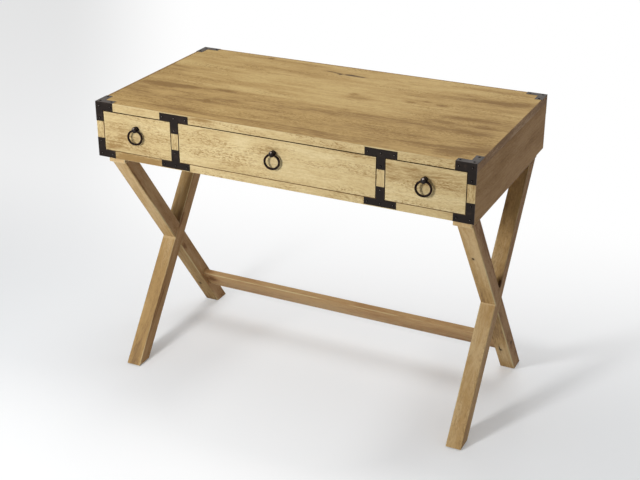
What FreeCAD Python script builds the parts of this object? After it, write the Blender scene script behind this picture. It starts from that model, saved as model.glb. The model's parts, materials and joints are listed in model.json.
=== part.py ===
import FreeCAD, Part
import math
import os

Vec = FreeCAD.Vector
X_AXIS = Vec(1, 0, 0)
Y_AXIS = Vec(0, 1, 0)
Z_AXIS = Vec(0, 0, 1)
LEFT = -1
RIGHT = 1
FRONT = -1
BACK = 1

# Campaign desk: a shallow case of three drawers on two crossed-leg frames.
# Millimetres, floor at z = 0, front towards -Y, left and right mirrored about x = 0.

# Overall sizes
desk_width = 990.0
desk_depth = 533.0
desk_height = 762.0
case_height = 143.0

# Boards of the case
top_thickness = 21.0
side_thickness = 20.0
bottom_thickness = 19.0
back_thickness = 12.0
back_rabbet = 8.0
divider_thickness = 20.0
centre_opening_width = 520.0
housing_depth = 5.0

# Drawer boxes
drawer_front_thickness = 20.0
drawer_side_thickness = 12.0
drawer_back_thickness = 12.0
drawer_bottom_thickness = 6.0
drawer_bottom_rise = 8.0
drawer_groove_depth = 6.0
drawer_groove_play = 0.5
drawer_front_chamfer = 0.6
drawer_side_gap = 1.8
drawer_top_gap = 2.0
drawer_front_gap = 1.5
drawer_runner_clearance = 0.3
dovetail_count = 3
dovetail_lap = 6.0
dovetail_slope = 1 / 6
dovetail_pin = 5.0

# Blocks behind the drawers that stop them with their fronts flush
stop_width = 30.0
stop_height = 25.0
stop_depth = 20.7
stop_inset = 20.0
stop_clearance = 0.3

# Let-in iron plates and their screws
plate_thickness = 2.0
plate_proud = 0.5
leaf_width = 19.0
plate_arm = 50.0
bend_radius = 1.2
tee_head = 80.0
tee_height = 49.0
tee_edge = 2.0
screw_edge = 8.0
screw_head_radius = 3.0
screw_head_height = 1.2
screw_slope = 0.55
screw_shank_radius = 1.5
screw_length = 6.5
screw_sides = 8
screw_clearance = 0.15

# Ring pulls
ball_radius = 7.6
ball_flat_radius = 1.5
ball_standoff = 10.0
ball_bands = 7
pull_sides = 24
pull_rise = 18.0
neck_radius = 4.5
collar_radius = 6.0
collar_thickness = 2.0
eye_drop = 2.2
eye_radius = 4.0
ring_radius = 18.0
ring_wire_radius = 2.7
ring_sides = 32
ring_wire_sides = 8
pull_screw_radius = 2.0
pull_screw_clearance = 0.2
pull_screw_depth = 5.0
pull_screw_head_radius = 4.5
pull_screw_head_height = 2.5

# Crossed legs, the battens that carry the case on them, and the stretcher
leg_width = 40.0
leg_depth = 40.0
leg_inset = 34.5
leg_chamfer = 1.5
leg_tenon_width = 14.0
leg_tenon_depth = 30.0
leg_tenon_length = 14.0
frame_inset = 12.0
batten_width = 46.0
batten_thickness = 22.0
batten_setback = 24.0
batten_screw_inset = 55.0
batten_screw_count = 4
batten_screw_radius = 2.25
batten_screw_head_radius = 4.5
batten_screw_bite = 13.0
batten_screw_clearance = 0.2
stretcher_centre_height = 107.0
stretcher_thickness = 16.0
stretcher_width = 65.0
stretcher_tenon_thickness = 10.0
stretcher_tenon_width = 45.0
stretcher_tenon_length = 18.0
glide_radius = 11.0
glide_chamfer = 1.0
glide_thickness = 3.0
glide_sides = 16

# Places that follow from the sizes. The middle of the overall depth, pulls included, is y = 0.
half_width = desk_width / 2
case_bottom = desk_height - case_height
opening_bottom = case_bottom + bottom_thickness
opening_top = desk_height - top_thickness
pull_reach = ball_standoff + math.sqrt(ball_radius ** 2 - ball_flat_radius ** 2)
plate_reach = plate_proud + screw_head_height
case_front = (pull_reach - desk_depth - plate_reach) / 2
case_back = case_front + desk_depth
back_face = case_back - back_thickness
inner_half_width = half_width - side_thickness
divider_inner = centre_opening_width / 2
divider_outer = divider_inner + divider_thickness
divider_middle = (divider_inner + divider_outer) / 2
stop_front = back_face - stop_depth
drawer_rear = stop_front - stop_clearance
batten_front = case_front + batten_setback
frame_middle = (batten_front + back_face) / 2
leg_run = back_face - batten_front - 2 * leg_inset
frame_outer = half_width - frame_inset
frame_inner = frame_outer - leg_width
batten_bottom = case_bottom - batten_thickness
leg_middle = (batten_bottom + glide_thickness) / 2
leg_slope = leg_run / (batten_bottom - glide_thickness)


def box(x_range, y_range, z_range):
    """Return a block between two values on each axis, given in either order."""
    low = Vec(min(x_range), min(y_range), min(z_range))
    high = Vec(max(x_range), max(y_range), max(z_range))
    size = high - low
    return Part.makeBox(size.x, size.y, size.z, low)


def prism(points, sweep):
    """Return the solid of a flat outline moved along a vector."""
    solid = Part.Face(Part.makePolygon(points + points[:1])).extrude(sweep)
    if solid.Volume < 0:
        solid.reverse()
    return solid


def turned(profile, base, axis, sides):
    """Return a turned solid with flat sides from (radius, distance along the axis) points.

    A profile that starts and ends on the axis is capped there, any other is a closed section.
    """
    turns = [2 * math.pi * (i + 0.5) / sides for i in range(sides)]
    rings = []
    for radius, along in profile:
        if radius > 0:
            rings.append([Vec(radius * math.cos(t), radius * math.sin(t), along) for t in turns])
    capped = profile[0][0] == 0
    outlines = [rings[0], rings[-1]] if capped else []
    following = rings[1:] if capped else rings[1:] + rings[:1]
    for low, high in zip(rings, following):
        for i in range(sides):
            outlines.append([low[i - 1], low[i], high[i], high[i - 1]])
    faces = [Part.Face(Part.makePolygon(outline + outline[:1])) for outline in outlines]
    solid = Part.makeSolid(Part.makeShell(faces))
    if solid.Volume < 0:
        solid.reverse()
    solid.Placement = FreeCAD.Placement(base, FreeCAD.Rotation(Z_AXIS, axis))
    return solid


def rod(radius, start, end, base, axis, sides):
    """Return a straight rod between two distances along an axis."""
    return turned([(0, start), (radius, start), (radius, end), (0, end)], base, axis, sides)


def join(first, *others):
    """Return solids made of one piece of material as a single clean solid."""
    return first.fuse(list(others)).removeSplitter()


def save(name, *solids):
    """Write one sub-part, or a group of like sub-parts, to its own file."""
    shape = solids[0] if len(solids) == 1 else Part.makeCompound(list(solids))
    shape.exportStep("parts/" + name + ".step")


def side_name(side):
    return "left" if side == LEFT else "right"


# Iron plates

def plate_screw(place, outward):
    """Round-headed screw whose head sits on the plate at a place."""
    crown = screw_head_radius * screw_slope
    profile = [
        (0, -screw_length),
        (screw_shank_radius, -screw_length),
        (screw_shank_radius, 0),
        (screw_head_radius, 0),
        (crown, screw_head_height),
        (0, screw_head_height),
    ]
    return turned(profile, place, outward, screw_sides)


def screw_hole(place, outward):
    """Hole for a plate screw, through the plate and into the wood."""
    radius = screw_shank_radius + screw_clearance
    return rod(radius, -screw_length - screw_clearance, 0, place, outward, screw_sides)


def l_leaf(corner, along, across, outward, along_width, across_width):
    """Flat L of two arms from a corner, each with its own width, and the places of its screws."""
    outline = [
        corner,
        corner + along * plate_arm,
        corner + along * plate_arm + across * along_width,
        corner + along * across_width + across * along_width,
        corner + along * across_width + across * plate_arm,
        corner + across * plate_arm,
    ]
    along_row = across * (along_width / 2)
    across_row = along * (across_width / 2)
    end = plate_arm - screw_edge
    places = [corner + across_row + along_row, corner + along * end + along_row,
              corner + across * end + across_row]
    return prism(outline, outward * -plate_thickness), [(place, outward) for place in places]


def corner_bracket(side, end):
    """Bent bracket over a top corner: one L leaf on the top, one on the front or back face."""
    face = case_front if end == FRONT else case_back
    corner = Vec(side * half_width, face + end * plate_proud, desk_height + plate_proud)
    inward = X_AXIS * -side
    rail = top_thickness + plate_proud
    top_leaf, top_screws = l_leaf(corner, inward, Y_AXIS * -end, Z_AXIS, leaf_width, leaf_width)
    face_leaf, face_screws = l_leaf(corner, inward, Z_AXIS * -1, Y_AXIS * end, rail, side_thickness)
    bracket = join(top_leaf, face_leaf)
    bend = [edge for edge in bracket.Edges if on_bend(edge, corner)]
    return bracket.makeFillet(bend_radius, bend), top_screws, face_screws


def on_bend(edge, corner):
    """Tell whether an edge is the outer bend line through a bracket's corner."""
    ends = [vertex.Point for vertex in edge.Vertexes]
    return all(abs(p.y - corner.y) < 1e-6 and abs(p.z - corner.z) < 1e-6 for p in ends)


def lower_plate(side):
    """Flat L plate on a lower front corner."""
    corner = Vec(side * half_width, case_front - plate_proud, case_bottom)
    return l_leaf(corner, X_AXIS * -side, Z_AXIS, Y_AXIS * -1, bottom_thickness, side_thickness)


def tee_plate(side, edge, up, rail):
    """Flat T plate where a divider meets the case, its head as deep as the rail it is let into."""
    start = Vec(side * divider_middle, case_front - plate_proud, edge) + up * tee_edge
    head = X_AXIS * (tee_head / 2)
    stem = X_AXIS * (divider_thickness / 2)
    head_width = rail - tee_edge
    outline = [
        start - head,
        start + head,
        start + head + up * head_width,
        start + stem + up * head_width,
        start + stem + up * tee_height,
        start - stem + up * tee_height,
        start - stem + up * head_width,
        start - head + up * head_width,
    ]
    row = start + up * (head_width / 2)
    reach = X_AXIS * (tee_head / 2 - screw_edge)
    places = [row, row - reach, row + reach, start + up * (tee_height - screw_edge)]
    outward = Y_AXIS * -1
    return prism(outline, outward * -plate_thickness), [(place, outward) for place in places]


def make_plates():
    """Return the plates by name and the screws of the top, front and back."""
    plates = {}
    screws = {"top": [], "front": [], "back": []}
    for side in (LEFT, RIGHT):
        hand = side_name(side)
        for end, word in ((FRONT, "front"), (BACK, "back")):
            bracket, top_screws, face_screws = corner_bracket(side, end)
            plates[word + "_" + hand + "_corner_bracket"] = bracket
            screws["top"] += top_screws
            screws[word] += face_screws
        flats = {
            "lower_" + hand + "_corner_plate": lower_plate(side),
            "upper_" + hand + "_tee_plate": tee_plate(side, desk_height, Z_AXIS * -1, top_thickness),
            "lower_" + hand + "_tee_plate": tee_plate(side, case_bottom, Z_AXIS, bottom_thickness),
        }
        for name, (plate, places) in flats.items():
            plates[name] = plate
            screws["front"] += places
    return plates, screws


# Case

def batten_screw_places():
    """Return the places of the screws that hold the battens to the case, on the batten's underside."""
    x = frame_outer - batten_width / 2
    first = frame_middle - leg_run / 2 + batten_screw_inset
    step = (leg_run - 2 * batten_screw_inset) / (batten_screw_count - 1)
    rows = [first + step * i for i in range(batten_screw_count)]
    return [Vec(side * x, y, batten_bottom) for side in (LEFT, RIGHT) for y in rows]


def batten_screw(place, clearance):
    """Countersunk wood screw driven up through a batten; with a clearance, the hole for it."""
    shank = batten_screw_radius + clearance
    head = batten_screw_head_radius + clearance
    length = batten_thickness + batten_screw_bite + clearance
    profile = [(0, 0), (head, 0), (shank, head - shank), (shank, length), (0, length)]
    return turned(profile, place, Z_AXIS, screw_sides)


def make_case(plates, screws):
    """Return the boards of the case, cut for each other, the plates and the screws."""
    depth = (case_front, case_back)
    inner_depth = (case_front, back_face)
    divider_height = (opening_bottom - housing_depth, opening_top + housing_depth)
    boards = {
        "top_panel": box((-half_width, half_width), depth, (opening_top, desk_height)),
        "bottom_panel": box(
            (-inner_half_width - housing_depth, inner_half_width + housing_depth),
            inner_depth,
            (case_bottom, opening_bottom),
        ),
        "back_panel": box(
            (-inner_half_width - back_rabbet, inner_half_width + back_rabbet),
            (back_face, case_back),
            (case_bottom, opening_top + back_rabbet),
        ),
    }
    dividers = {}
    for side in (LEFT, RIGHT):
        faces = (side * divider_inner, side * divider_outer)
        dividers[side_name(side) + "_divider"] = box(faces, inner_depth, divider_height)
        panel = box((side * half_width, side * inner_half_width), depth, (case_bottom, opening_top))
        boards[side_name(side) + "_side_panel"] = panel.cut([boards["bottom_panel"], boards["back_panel"]])
    fitted = list(dividers.values())
    boards["bottom_panel"] = boards["bottom_panel"].cut(fitted)
    boards["top_panel"] = boards["top_panel"].cut(fitted + [boards["back_panel"]])
    boards.update(dividers)
    holes = [screw_hole(*place) for group in screws.values() for place in group]
    holes += [batten_screw(place, batten_screw_clearance) for place in batten_screw_places()]
    cutters = list(plates.values()) + holes
    return {name: board.cut(cutters).removeSplitter() for name, board in boards.items()}


# Drawers

def drawer_openings():
    """Return the left and right faces of each drawer opening by the drawer's name."""
    return {
        "left": (-inner_half_width, -divider_outer),
        "centre": (-divider_inner, divider_inner),
        "right": (divider_outer, inner_half_width),
    }


def tails(x_range, tip, root, z_range):
    """Dovetails of a drawer side, widening from their root to their tip."""
    low, high = z_range
    pitch = (high - low) / dovetail_count
    half_tip = (pitch - dovetail_pin) / 2
    half_root = half_tip - abs(tip - root) * dovetail_slope
    solids = []
    for i in range(dovetail_count):
        middle = low + pitch * (i + 0.5)
        outline = [
            Vec(x_range[0], tip, middle - half_tip),
            Vec(x_range[0], tip, middle + half_tip),
            Vec(x_range[0], root, middle + half_root),
            Vec(x_range[0], root, middle - half_root),
        ]
        solids.append(prism(outline, X_AXIS * (x_range[1] - x_range[0])))
    return solids


def dovetailed_side(x_range, front_tip, front_root, rear_root, rear_tip, z_range, back_z_range):
    """Drawer side with half-blind tails at the front and through tails at the back."""
    board = box(x_range, (front_tip, rear_tip), z_range)
    front_pins = box(x_range, (front_tip, front_root), z_range)
    front_pins = front_pins.cut(tails(x_range, front_tip, front_root, z_range))
    rear_pins = box(x_range, (rear_root, rear_tip), back_z_range)
    rear_pins = rear_pins.cut(tails(x_range, rear_tip, rear_root, back_z_range))
    return board.cut([front_pins, rear_pins]).removeSplitter()


def chamfered_front(x_range, z_range):
    """Drawer front board with the edges of its face eased."""
    board = box(x_range, (case_front, case_front + drawer_front_thickness), z_range)
    face_edges = [e for e in board.Edges if all(abs(v.Point.y - case_front) < 1e-6 for v in e.Vertexes)]
    return board.makeChamfer(drawer_front_chamfer, face_edges)


def make_drawer(opening):
    """Return the boards of one dovetailed drawer box and the place of its pull on the face."""
    left = opening[0] + drawer_side_gap
    right = opening[1] - drawer_side_gap
    inner_front = case_front + drawer_front_thickness
    inner_rear = drawer_rear - drawer_back_thickness
    box_z = (opening_bottom + drawer_runner_clearance, opening_top - drawer_top_gap)
    front_z = (opening_bottom + drawer_front_gap, box_z[1])
    panel_z = (box_z[0] + drawer_bottom_rise, box_z[0] + drawer_bottom_rise + drawer_bottom_thickness)
    back_z = (panel_z[1], box_z[1])
    groove_inset = drawer_side_thickness - drawer_groove_depth
    groove_front = inner_front - drawer_groove_depth
    groove = box((left + groove_inset, right - groove_inset), (groove_front, drawer_rear), panel_z)
    panel = box(
        (left + groove_inset + drawer_groove_play, right - groove_inset - drawer_groove_play),
        (groove_front + drawer_groove_play, drawer_rear),
        panel_z,
    )
    sides = {}
    for word, outer, inner in (
        ("left_side", left, left + drawer_side_thickness),
        ("right_side", right, right - drawer_side_thickness),
    ):
        sides[word] = dovetailed_side(
            (outer, inner), case_front + dovetail_lap, inner_front, inner_rear, drawer_rear, box_z, back_z
        )
    cheeks = list(sides.values())
    pull = Vec((left + right) / 2, case_front, (front_z[0] + front_z[1]) / 2 + pull_rise)
    hole = pull_screw_hole(pull)
    boards = {word: board.cut(groove) for word, board in sides.items()}
    boards["front"] = chamfered_front((left, right), front_z).cut(cheeks + [groove, hole])
    boards["back"] = box((left, right), (inner_rear, drawer_rear), back_z).cut(cheeks)
    boards["bottom"] = panel
    return boards, pull


def pull_post(pull):
    """Ball-headed post of a ring pull, with the eye that the ring hangs in."""
    neck_turn = math.asin(neck_radius / ball_radius)
    flat_turn = math.pi - math.asin(ball_flat_radius / ball_radius)
    profile = [(0, 0), (collar_radius, 0), (collar_radius, collar_thickness), (neck_radius, collar_thickness)]
    for i in range(ball_bands + 1):
        turn = neck_turn + (flat_turn - neck_turn) * i / ball_bands
        profile.append((ball_radius * math.sin(turn), ball_standoff - ball_radius * math.cos(turn)))
    profile.append((0, pull_reach))
    post = turned(profile, pull, Y_AXIS * -1, pull_sides)
    eye = rod(eye_radius, -ball_radius, ball_radius, eye_centre(pull), X_AXIS, pull_sides)
    return post.cut([eye, pull_screw_hole(pull)])


def eye_centre(pull):
    """Return the middle of the eye, about which the ring swings."""
    return pull - Y_AXIS * ball_standoff - Z_AXIS * eye_drop


def pull_screw_hole(pull):
    """Hole for the pull's screw, through the drawer front and into the post."""
    radius = pull_screw_radius + pull_screw_clearance
    return rod(radius, -pull_screw_depth, drawer_front_thickness, pull, Y_AXIS, screw_sides)


def pull_screw(pull):
    """Screw from inside the drawer that holds the post."""
    inner = pull + Y_AXIS * drawer_front_thickness
    length = drawer_front_thickness + pull_screw_depth - pull_screw_clearance
    crown = pull_screw_head_radius * screw_slope
    profile = [
        (0, -length),
        (pull_screw_radius, -length),
        (pull_screw_radius, 0),
        (pull_screw_head_radius, 0),
        (pull_screw_head_radius, pull_screw_head_height / 2),
        (crown, pull_screw_head_height),
        (0, pull_screw_head_height),
    ]
    return turned(profile, inner, Y_AXIS, screw_sides)


def pull_ring(pull):
    """Ring hanging in the eye, the sag of its arc shared about the eye's axis."""
    eye_half = math.sqrt(ball_radius ** 2 - eye_drop ** 2)
    sag = ring_radius - math.sqrt(ring_radius ** 2 - eye_half ** 2)
    centre = eye_centre(pull) - Z_AXIS * (ring_radius - sag / 2)
    section = []
    for i in range(ring_wire_sides):
        turn = 2 * math.pi * (i + 0.5) / ring_wire_sides
        section.append((ring_radius + ring_wire_radius * math.cos(turn), ring_wire_radius * math.sin(turn)))
    return turned(section, centre, Y_AXIS, ring_sides)


def drawer_stops():
    """Blocks at the back of the case, two behind each drawer."""
    height = (opening_bottom, opening_bottom + stop_height)
    blocks = []
    for left, right in drawer_openings().values():
        for start in (left + stop_inset, right - stop_inset - stop_width):
            blocks.append(box((start, start + stop_width), (stop_front, back_face), height))
    return blocks


# Crossed legs

def leg_centre(foot, z):
    """Return where a leg's middle line is at a height; foot tells which way it runs."""
    return frame_middle + foot * leg_slope * (leg_middle - z)


def leg_bar(side, foot, eased):
    """Straight leg of a crossed frame, cut level at the floor glide and under the batten."""
    half_wide = leg_width / 2
    half_deep = leg_depth / 2
    half_long = math.hypot(leg_run, desk_height)
    bar = box((-half_wide, half_wide), (-half_deep, half_deep), (-half_long, half_long))
    if eased:
        bar = bar.makeChamfer(leg_chamfer, [edge for edge in bar.Edges if edge.Length > half_long])
    middle = Vec(side * (frame_outer - half_wide), frame_middle, leg_middle)
    lean = FreeCAD.Rotation(X_AXIS, math.degrees(foot * math.atan(leg_slope)))
    bar.Placement = FreeCAD.Placement(middle, lean)
    span = (frame_middle - half_long, frame_middle + half_long)
    room = box((side * frame_inner, side * frame_outer), span, (glide_thickness, batten_bottom))
    return bar.common(room)


def leg_tenon(side, foot):
    """Upright stub tenon on top of a leg, let into the batten."""
    x = side * (frame_outer - leg_width / 2)
    y = leg_centre(foot, batten_bottom)
    return box(
        (x - leg_tenon_width / 2, x + leg_tenon_width / 2),
        (y - leg_tenon_depth / 2, y + leg_tenon_depth / 2),
        (batten_bottom, batten_bottom + leg_tenon_length),
    )


def stretcher_block(half_length, thickness, width):
    """Flat board between the legs, tilted to lie along those that run to the back feet."""
    centre = Vec(0, leg_centre(BACK, stretcher_centre_height), stretcher_centre_height)
    board = box((-half_length, half_length), (-thickness / 2, thickness / 2), (-width / 2, width / 2))
    turn = FreeCAD.Rotation(X_AXIS, math.degrees(math.atan(leg_slope)))
    board.Placement = FreeCAD.Placement(centre, turn)
    return board


def make_stretcher():
    """Stretcher with a tenon on each end."""
    board = stretcher_block(frame_inner, stretcher_thickness, stretcher_width)
    tenons = stretcher_block(
        frame_inner + stretcher_tenon_length, stretcher_tenon_thickness, stretcher_tenon_width
    )
    return join(board, tenons)


def make_legs(stretcher):
    """Return the legs, half lapped in pairs, mortised for the stretcher and tenoned at the top."""
    legs = {}
    middle = (frame_inner + frame_outer) / 2
    span = (-desk_depth, desk_depth)
    height = (0, desk_height)
    for side in (LEFT, RIGHT):
        inner_half = box((side * frame_inner, side * middle), span, height)
        outer_half = box((side * middle, side * frame_outer), span, height)
        front_notch = leg_bar(side, BACK, False).common(inner_half)
        back_notch = leg_bar(side, FRONT, False).common(outer_half)
        for foot, word, notch in ((FRONT, "front", front_notch), (BACK, "back", back_notch)):
            bar = leg_bar(side, foot, True).cut([notch, stretcher])
            legs[side_name(side) + "_" + word + "_leg"] = join(bar, leg_tenon(side, foot))
    return legs


def make_batten(side):
    """Batten under one end of the case, mortised for the leg tenons and drilled for its screws."""
    batten = box(
        (side * frame_outer, side * (frame_outer - batten_width)),
        (batten_front, back_face),
        (batten_bottom, case_bottom),
    )
    cutters = [leg_tenon(side, foot) for foot in (FRONT, BACK)]
    cutters += [batten_screw(place, batten_screw_clearance) for place in batten_screw_places()]
    return batten.cut(cutters)


def foot_glides():
    """Round glides under the four feet."""
    profile = [
        (0, 0),
        (glide_radius - glide_chamfer, 0),
        (glide_radius, glide_chamfer),
        (glide_radius, glide_thickness),
        (0, glide_thickness),
    ]
    glides = []
    for side in (LEFT, RIGHT):
        for foot in (FRONT, BACK):
            x = side * (frame_outer - leg_width / 2)
            place = Vec(x, leg_centre(foot, glide_thickness), 0)
            glides.append(turned(profile, place, Z_AXIS, glide_sides))
    return glides


def main():
    os.makedirs("parts", exist_ok=True)
    plates, screws = make_plates()
    for name, board in make_case(plates, screws).items():
        save(name, board)
    all_holes = [screw_hole(*place) for group in screws.values() for place in group]
    for name, plate in plates.items():
        save(name, plate.cut(all_holes))
    for face, places in screws.items():
        save(face + "_plate_screws", *[plate_screw(*place) for place in places])
    for word, opening in drawer_openings().items():
        boards, pull = make_drawer(opening)
        for piece, board in boards.items():
            save(word + "_drawer_" + piece, board)
        save(word + "_pull_post", pull_post(pull))
        save(word + "_pull_screw", pull_screw(pull))
        save(word + "_pull_ring", pull_ring(pull))
    save("drawer_stops", *drawer_stops())
    stretcher = make_stretcher()
    save("stretcher", stretcher)
    for name, leg in make_legs(stretcher).items():
        save(name, leg)
    for side in (LEFT, RIGHT):
        save(side_name(side) + "_batten", make_batten(side))
    save("batten_screws", *[batten_screw(place, 0) for place in batten_screw_places()])
    save("foot_glides", *foot_glides())


main()
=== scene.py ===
import json
import math

import bmesh
import bpy
from bpy.props import FloatProperty, FloatVectorProperty, IntProperty, PointerProperty
from mathutils import Matrix, Vector
from mathutils.bvhtree import BVHTree


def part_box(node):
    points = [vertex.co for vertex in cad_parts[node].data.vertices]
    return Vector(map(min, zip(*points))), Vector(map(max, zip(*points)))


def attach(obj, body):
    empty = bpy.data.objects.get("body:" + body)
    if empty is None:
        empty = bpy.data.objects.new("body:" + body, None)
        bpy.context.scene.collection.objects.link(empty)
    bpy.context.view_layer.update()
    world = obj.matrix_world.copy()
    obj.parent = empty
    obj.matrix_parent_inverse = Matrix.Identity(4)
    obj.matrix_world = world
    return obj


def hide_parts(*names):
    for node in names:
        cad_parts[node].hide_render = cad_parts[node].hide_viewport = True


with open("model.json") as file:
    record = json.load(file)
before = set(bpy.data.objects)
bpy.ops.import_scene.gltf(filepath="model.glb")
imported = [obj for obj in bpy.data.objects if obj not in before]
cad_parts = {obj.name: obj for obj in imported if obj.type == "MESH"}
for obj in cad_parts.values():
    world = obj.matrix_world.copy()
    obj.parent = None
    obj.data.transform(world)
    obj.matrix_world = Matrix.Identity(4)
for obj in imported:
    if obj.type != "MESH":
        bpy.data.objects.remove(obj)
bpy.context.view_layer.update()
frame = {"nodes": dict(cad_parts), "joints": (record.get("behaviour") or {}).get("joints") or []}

bl_info = {
    "name": "Campaign Desk",
    "version": (1, 0, 0),
    "blender": (4, 5, 0),
    "location": "View3D > Sidebar > Desk",
    "description": "Campaign desk in straw and golden wood with dark iron plates and ring pulls",
    "category": "Add Mesh",
}


# Words in the names of pieces, and directions

HANDS = ("left", "right")
DRAWERS = ("left", "centre", "right")
BOX_BOARDS = ("left_side", "right_side", "back", "bottom")
SWAPPED_LEGS = ("left_front_leg", "left_back_leg")
FRONT_WAY = Vector((0, -1, 0))
UP_WAY = Vector((0, 0, 1))
# Direction from a ball's centre to the painted highlight on it
HIGHLIGHT_WAY = Vector((-0.04, -0.63, 0.77)).normalized()
QUARTER_TURN = math.pi / 2
FULL_TURN = 2 * math.pi


# Small sizes in metres, and counts of steps

NODE_MERGE = 1e-6
TURNED_MERGE = 1e-7
LEVEL_REACH = 1e-5
TOUCH_REACH = 0.0004
EASED_LENGTH = 0.010
PLATE_EASED_LENGTH = 0.004
EASING_STEPS = 2
LAP_MARGIN = 0.002
POST_NECK = 0.0044
POST_FOOT = [
    (0, 0), (0.0062, 0), (0.0066, 0.0006), (0.0062, 0.0014), (0.0050, 0.0020), (POST_NECK, 0.0026),
]
BALL_STEPS = 18
EYE_BORE = 0.0048
EYE_STEPS = 32
RING_STEPS = 72
WIRE_STEPS = 18
GLIDE_RIM = 0.0012
GLIDE_STEPS = 32
RIM_STEPS = 4
SCREW_STEPS = 20
DOME_STEPS = 5
PLATE_SCREW = {"head_height": 0.0012, "shank_radius": 0.0015}
BATTEN_SCREW = {"head_height": 0.0012, "shank_radius": 0.00225, "flat": True}
PULL_SCREW = {"head_height": 0.0025, "shank_radius": 0.002}


# Shares, angles, and how far a face's normal leans to a side to belong to it

SLOT_DEPTH = 0.45
SLOT_TURN = 2.4
# Share of a screw head's radius that carries a painted highlight
HIGHLIGHT_HEAD = 0.5
# Closeness to the highlight direction within which a ball's faces carry the painted highlight
HIGHLIGHT_SPREAD = 0.95
FLAT_ANGLE = math.radians(1)
EASED_ANGLE = math.radians(25)
SHARP_ANGLE = math.radians(40)
FACING = 0.5
LEANING = 0.3
SQUARE = 0.9
CHAMFER_LEAN = (0.25, 0.95)


# Seeds that pick each board's own run of grain

CASE_SEEDS = {
    "top_panel": 54, "bottom_panel": 2, "back_panel": 3, "left_side_panel": 4, "right_side_panel": 5,
    "left_divider": 6, "right_divider": 7, "drawer_stops": 8,
}
FRONT_SEED = 21
BOX_SEED = 24
LEG_SEED = 36


# Grain of each finish, as a plank's width in metres and the strength of each pattern

# A plank wider than any board leaves the board in one piece
ONE_PLANK = 9.0
GRAIN_KEYS = ("Plank Width", "Broad", "Band", "Streak", "Fibre", "Fleck")
GRAIN = {
    "top": (0.089, 0.7, 0.8, 0.4, 0.45, 0.8),
    "front": (ONE_PLANK, 0.7, 0.5, 0.5, 0.55, 0.9),
    "side": (ONE_PLANK, 0.9, 0.9, 0.5, 0.5, 0.35),
    "end": (ONE_PLANK, 0.4, 0.6, 0.5, 0.6, 0.3),
    "leg": (ONE_PLANK, 0.9, 0.8, 0.5, 0.4, 0.5),
    "leg_side": (ONE_PLANK, 0.9, 0.9, 0.5, 0.4, 0.4),
    "gap": (ONE_PLANK, 0.5, 1.0, 0.7, 0.5, 0.25),
    "box": (ONE_PLANK, 0.5, 1.0, 0.7, 0.5, 0.25),
}
PLANK_SHIFT = 0.5
BOARD_GRAIN = {"right_drawer_front": {"Plank Width": 0.5, "Plank Shift": 1.0, "Fleck": 1.3}}
# Colour that eased faces take in patches. On the top it is painted shade along the arrises. On the legs, the
# fronts and the ends of the top it is a pale colour that is both wear and painted highlight. Other finishes
# take their own pale colour as wear.
EDGE_COLOURS = {"top": "top_deep", "leg": "front_pale", "leg_side": "front_pale"}
WOOD_SPECULAR = 0.12
WOOD_BUMP = (0.0004, 0.5)


# Other shares and sizes in the grain and the patina

PLANK_JUMP = (9.0, 7.0, 5.0)
SEED_JUMP = 17.0
BEND = 0.05
RING_STRETCH = (0.16, 1.0, 1.0)
RING_SHARE = 0.10
PLANK_SHARE = 0.20
FLECK_ROUGHNESS = 0.25
FLECK_HEIGHT = -0.8
FIBRE_HEIGHT = 0.7
STAIN_RAGGED = 1.0
KNOT_RAGGED = 0.9
CLOUD_SHARE = 0.6
GRIT_SHARE = 0.4
IRON_BUMP = (0.0003, 0.35)
CLOUD_CELLS = {"iron": 60, "grit": 420, "steel": 300, "glide": 500, "floor": 0.7}


# Noise in the wood: cells to the metre along and across the grain, its detail and its roughness

PATTERNS = {
    "bend": (2.2, 9, 2.0, 0.5), "broad": (1.3, 9, 1.0, 0.5), "band": (5.0, 36, 3.0, 0.5),
    "streak": (28, 120, 3.0, 0.6), "fibre": (60, 800, 2.0, 0.5), "fine_pore": (150, 620, 1.0, 0.5),
    "coarse_pore": (85, 290, 2.0, 0.6), "patch": (7, 34, 2.0, 0.5), "rubbed": (6, 18, 2.0, 0.5),
    "ragged": (70, 240, 3.0, 0.5),
}


# Values between which a feature sets in, and where given its share or roughness at both ends

PATINA_ROUGHNESS = (0.36, 0.58)
FADES = {
    "fine_pore": (0.52, 0.62, 0.0, 0.8), "coarse_pore": (0.56, 0.66), "fleck": (0.40, 0.66, 0.26, 1.0),
    "middle": (0.16, 0.52), "pale": (0.48, 0.84), "rubbed": (0.42, 0.60, 0.10, 0.85),
    "sheen": (0.1, 0.9, 0.66, 0.56), "stain": (1.35, 0.1), "knot": (1.15, 0.8),
    "knot_halo": (2.6, 0.9, 0.0, 0.32), "iron_rubbed": (0.5, 0.78), "iron_edge": (0.3, 0.6, 0.25, 0.9),
    "iron_sheen": (0.4, 1.0, *PATINA_ROUGHNESS), "steel_sheen": (0.3, 0.7, 0.28, 0.46),
    "glide_sheen": (0.3, 0.7, 0.42, 0.62), "glide_scuff": (0.45, 0.7),
}


# Marks on single boards, in metres from the middle of the board; most are the wood's own tone, and those that
# are painted shade or highlight say so

def stain(along, across, long, wide, amount, into=0.0, deep=0.05):
    """Soft patch with its centre, its reach and how much it darkens; below zero it pales."""
    return (along, across, into), (long, wide, deep), amount


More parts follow.
